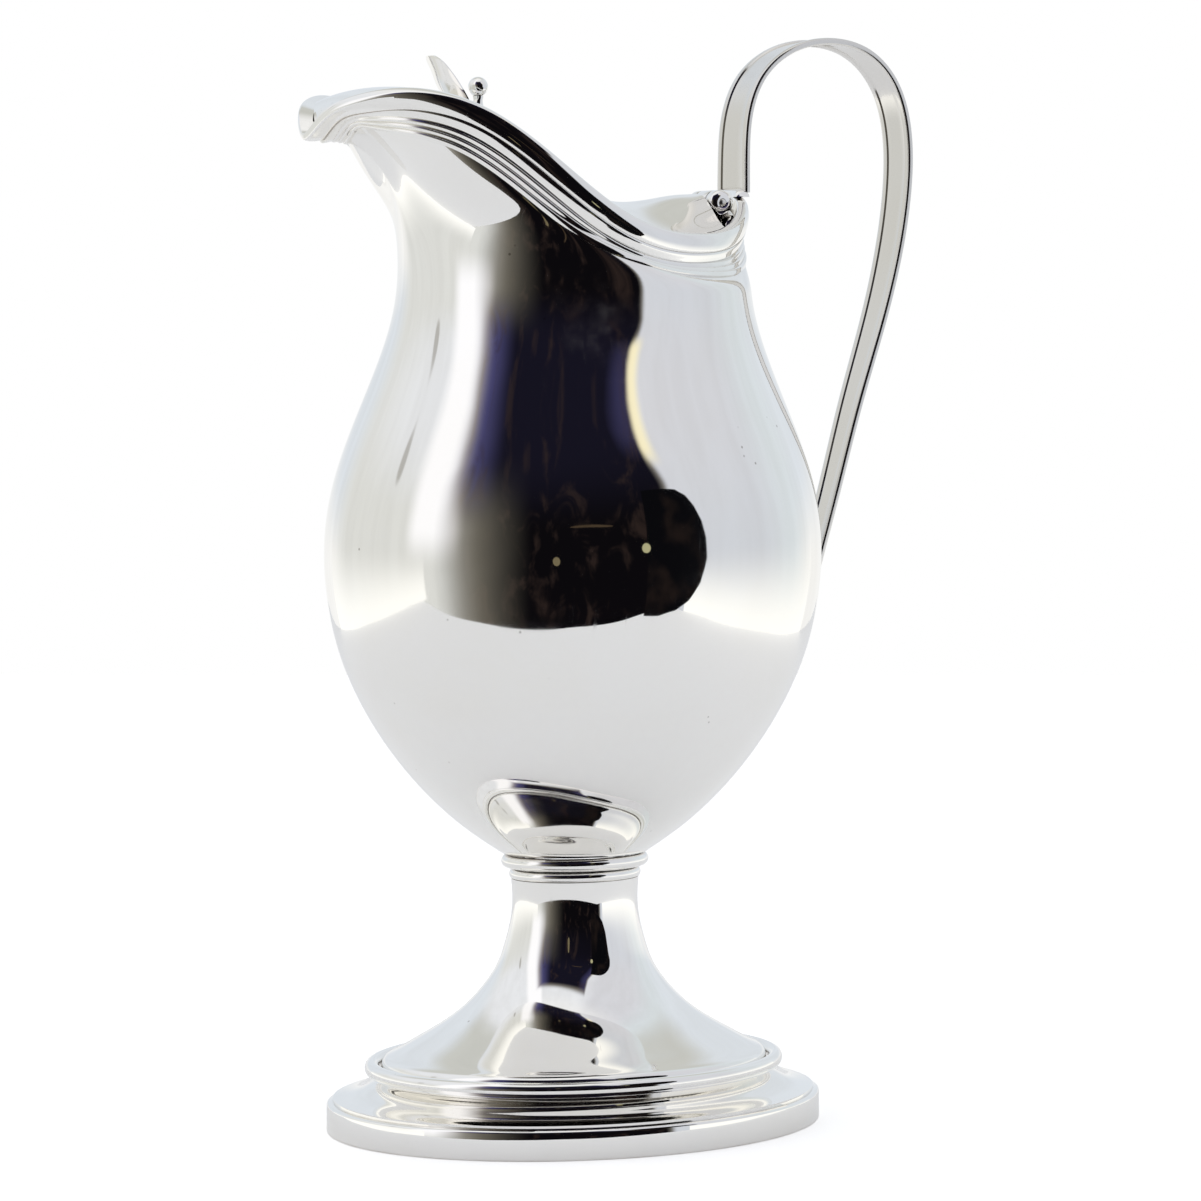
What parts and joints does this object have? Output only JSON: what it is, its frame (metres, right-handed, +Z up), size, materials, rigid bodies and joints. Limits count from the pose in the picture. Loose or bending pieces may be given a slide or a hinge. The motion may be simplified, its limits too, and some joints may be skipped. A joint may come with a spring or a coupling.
{
  "type": "covered silver water jug",
  "caption": "Oval pedestal-footed silver jug with a drooping pouring lip, a hinged domed lid with a small finial and a high looped strap handle.",
  "frame": {"origin": "on the table under the middle of the whole length, 12.3 mm behind the foot's own vertical axis towards the handle", "axes": "+Z up from the foot to the handle's top; -X towards the pouring lip and +X towards the handle; +Y across, out of the jug's left side when it is seen from behind the handle with the lip ahead"},
  "size_m": [0.1906, 0.1142, 0.299],
  "materials": {
    "bright_silver": "mirror-polished sterling silver with light handling scratches",
    "soft_silver": "less polished silver of the hidden lid fittings",
    "pin_silver": "drawn silver wire hinge pin, satin"
  },
  "bodies": {
    "jug": {"body": "bright_silver", "rim_bead": "bright_silver", "rim_reeded_band": "bright_silver", "lid_seat_left": "soft_silver", "lid_seat_right": "soft_silver", "hinge_plate": "bright_silver", "hinge_knuckle_left": "bright_silver", "hinge_knuckle_right": "bright_silver", "hinge_pin": "pin_silver", "handle_strap": "bright_silver", "handle_saddle": "bright_silver", "handle_pad": "bright_silver", "collar_upper": "bright_silver", "collar_lower": "bright_silver", "foot_trumpet": "bright_silver", "foot_step_wire": "bright_silver", "foot_flange": "bright_silver"},
    "cover": {"lid": "bright_silver", "lid_flange_left": "soft_silver", "lid_flange_right": "soft_silver", "hinge_knuckle_lid": "bright_silver", "hinge_leaf": "bright_silver", "finial_stem": "bright_silver", "finial_ball": "bright_silver", "finial_leaf": "bright_silver"}
  },
  "joints": [
    {"name": "lid_hinge", "type": "hinge", "parent": "jug", "child": "cover", "pos_m": [0.03098, 0, 0.252], "axis": [0, 1, 0], "range_deg": [0, 104]}
  ]
}
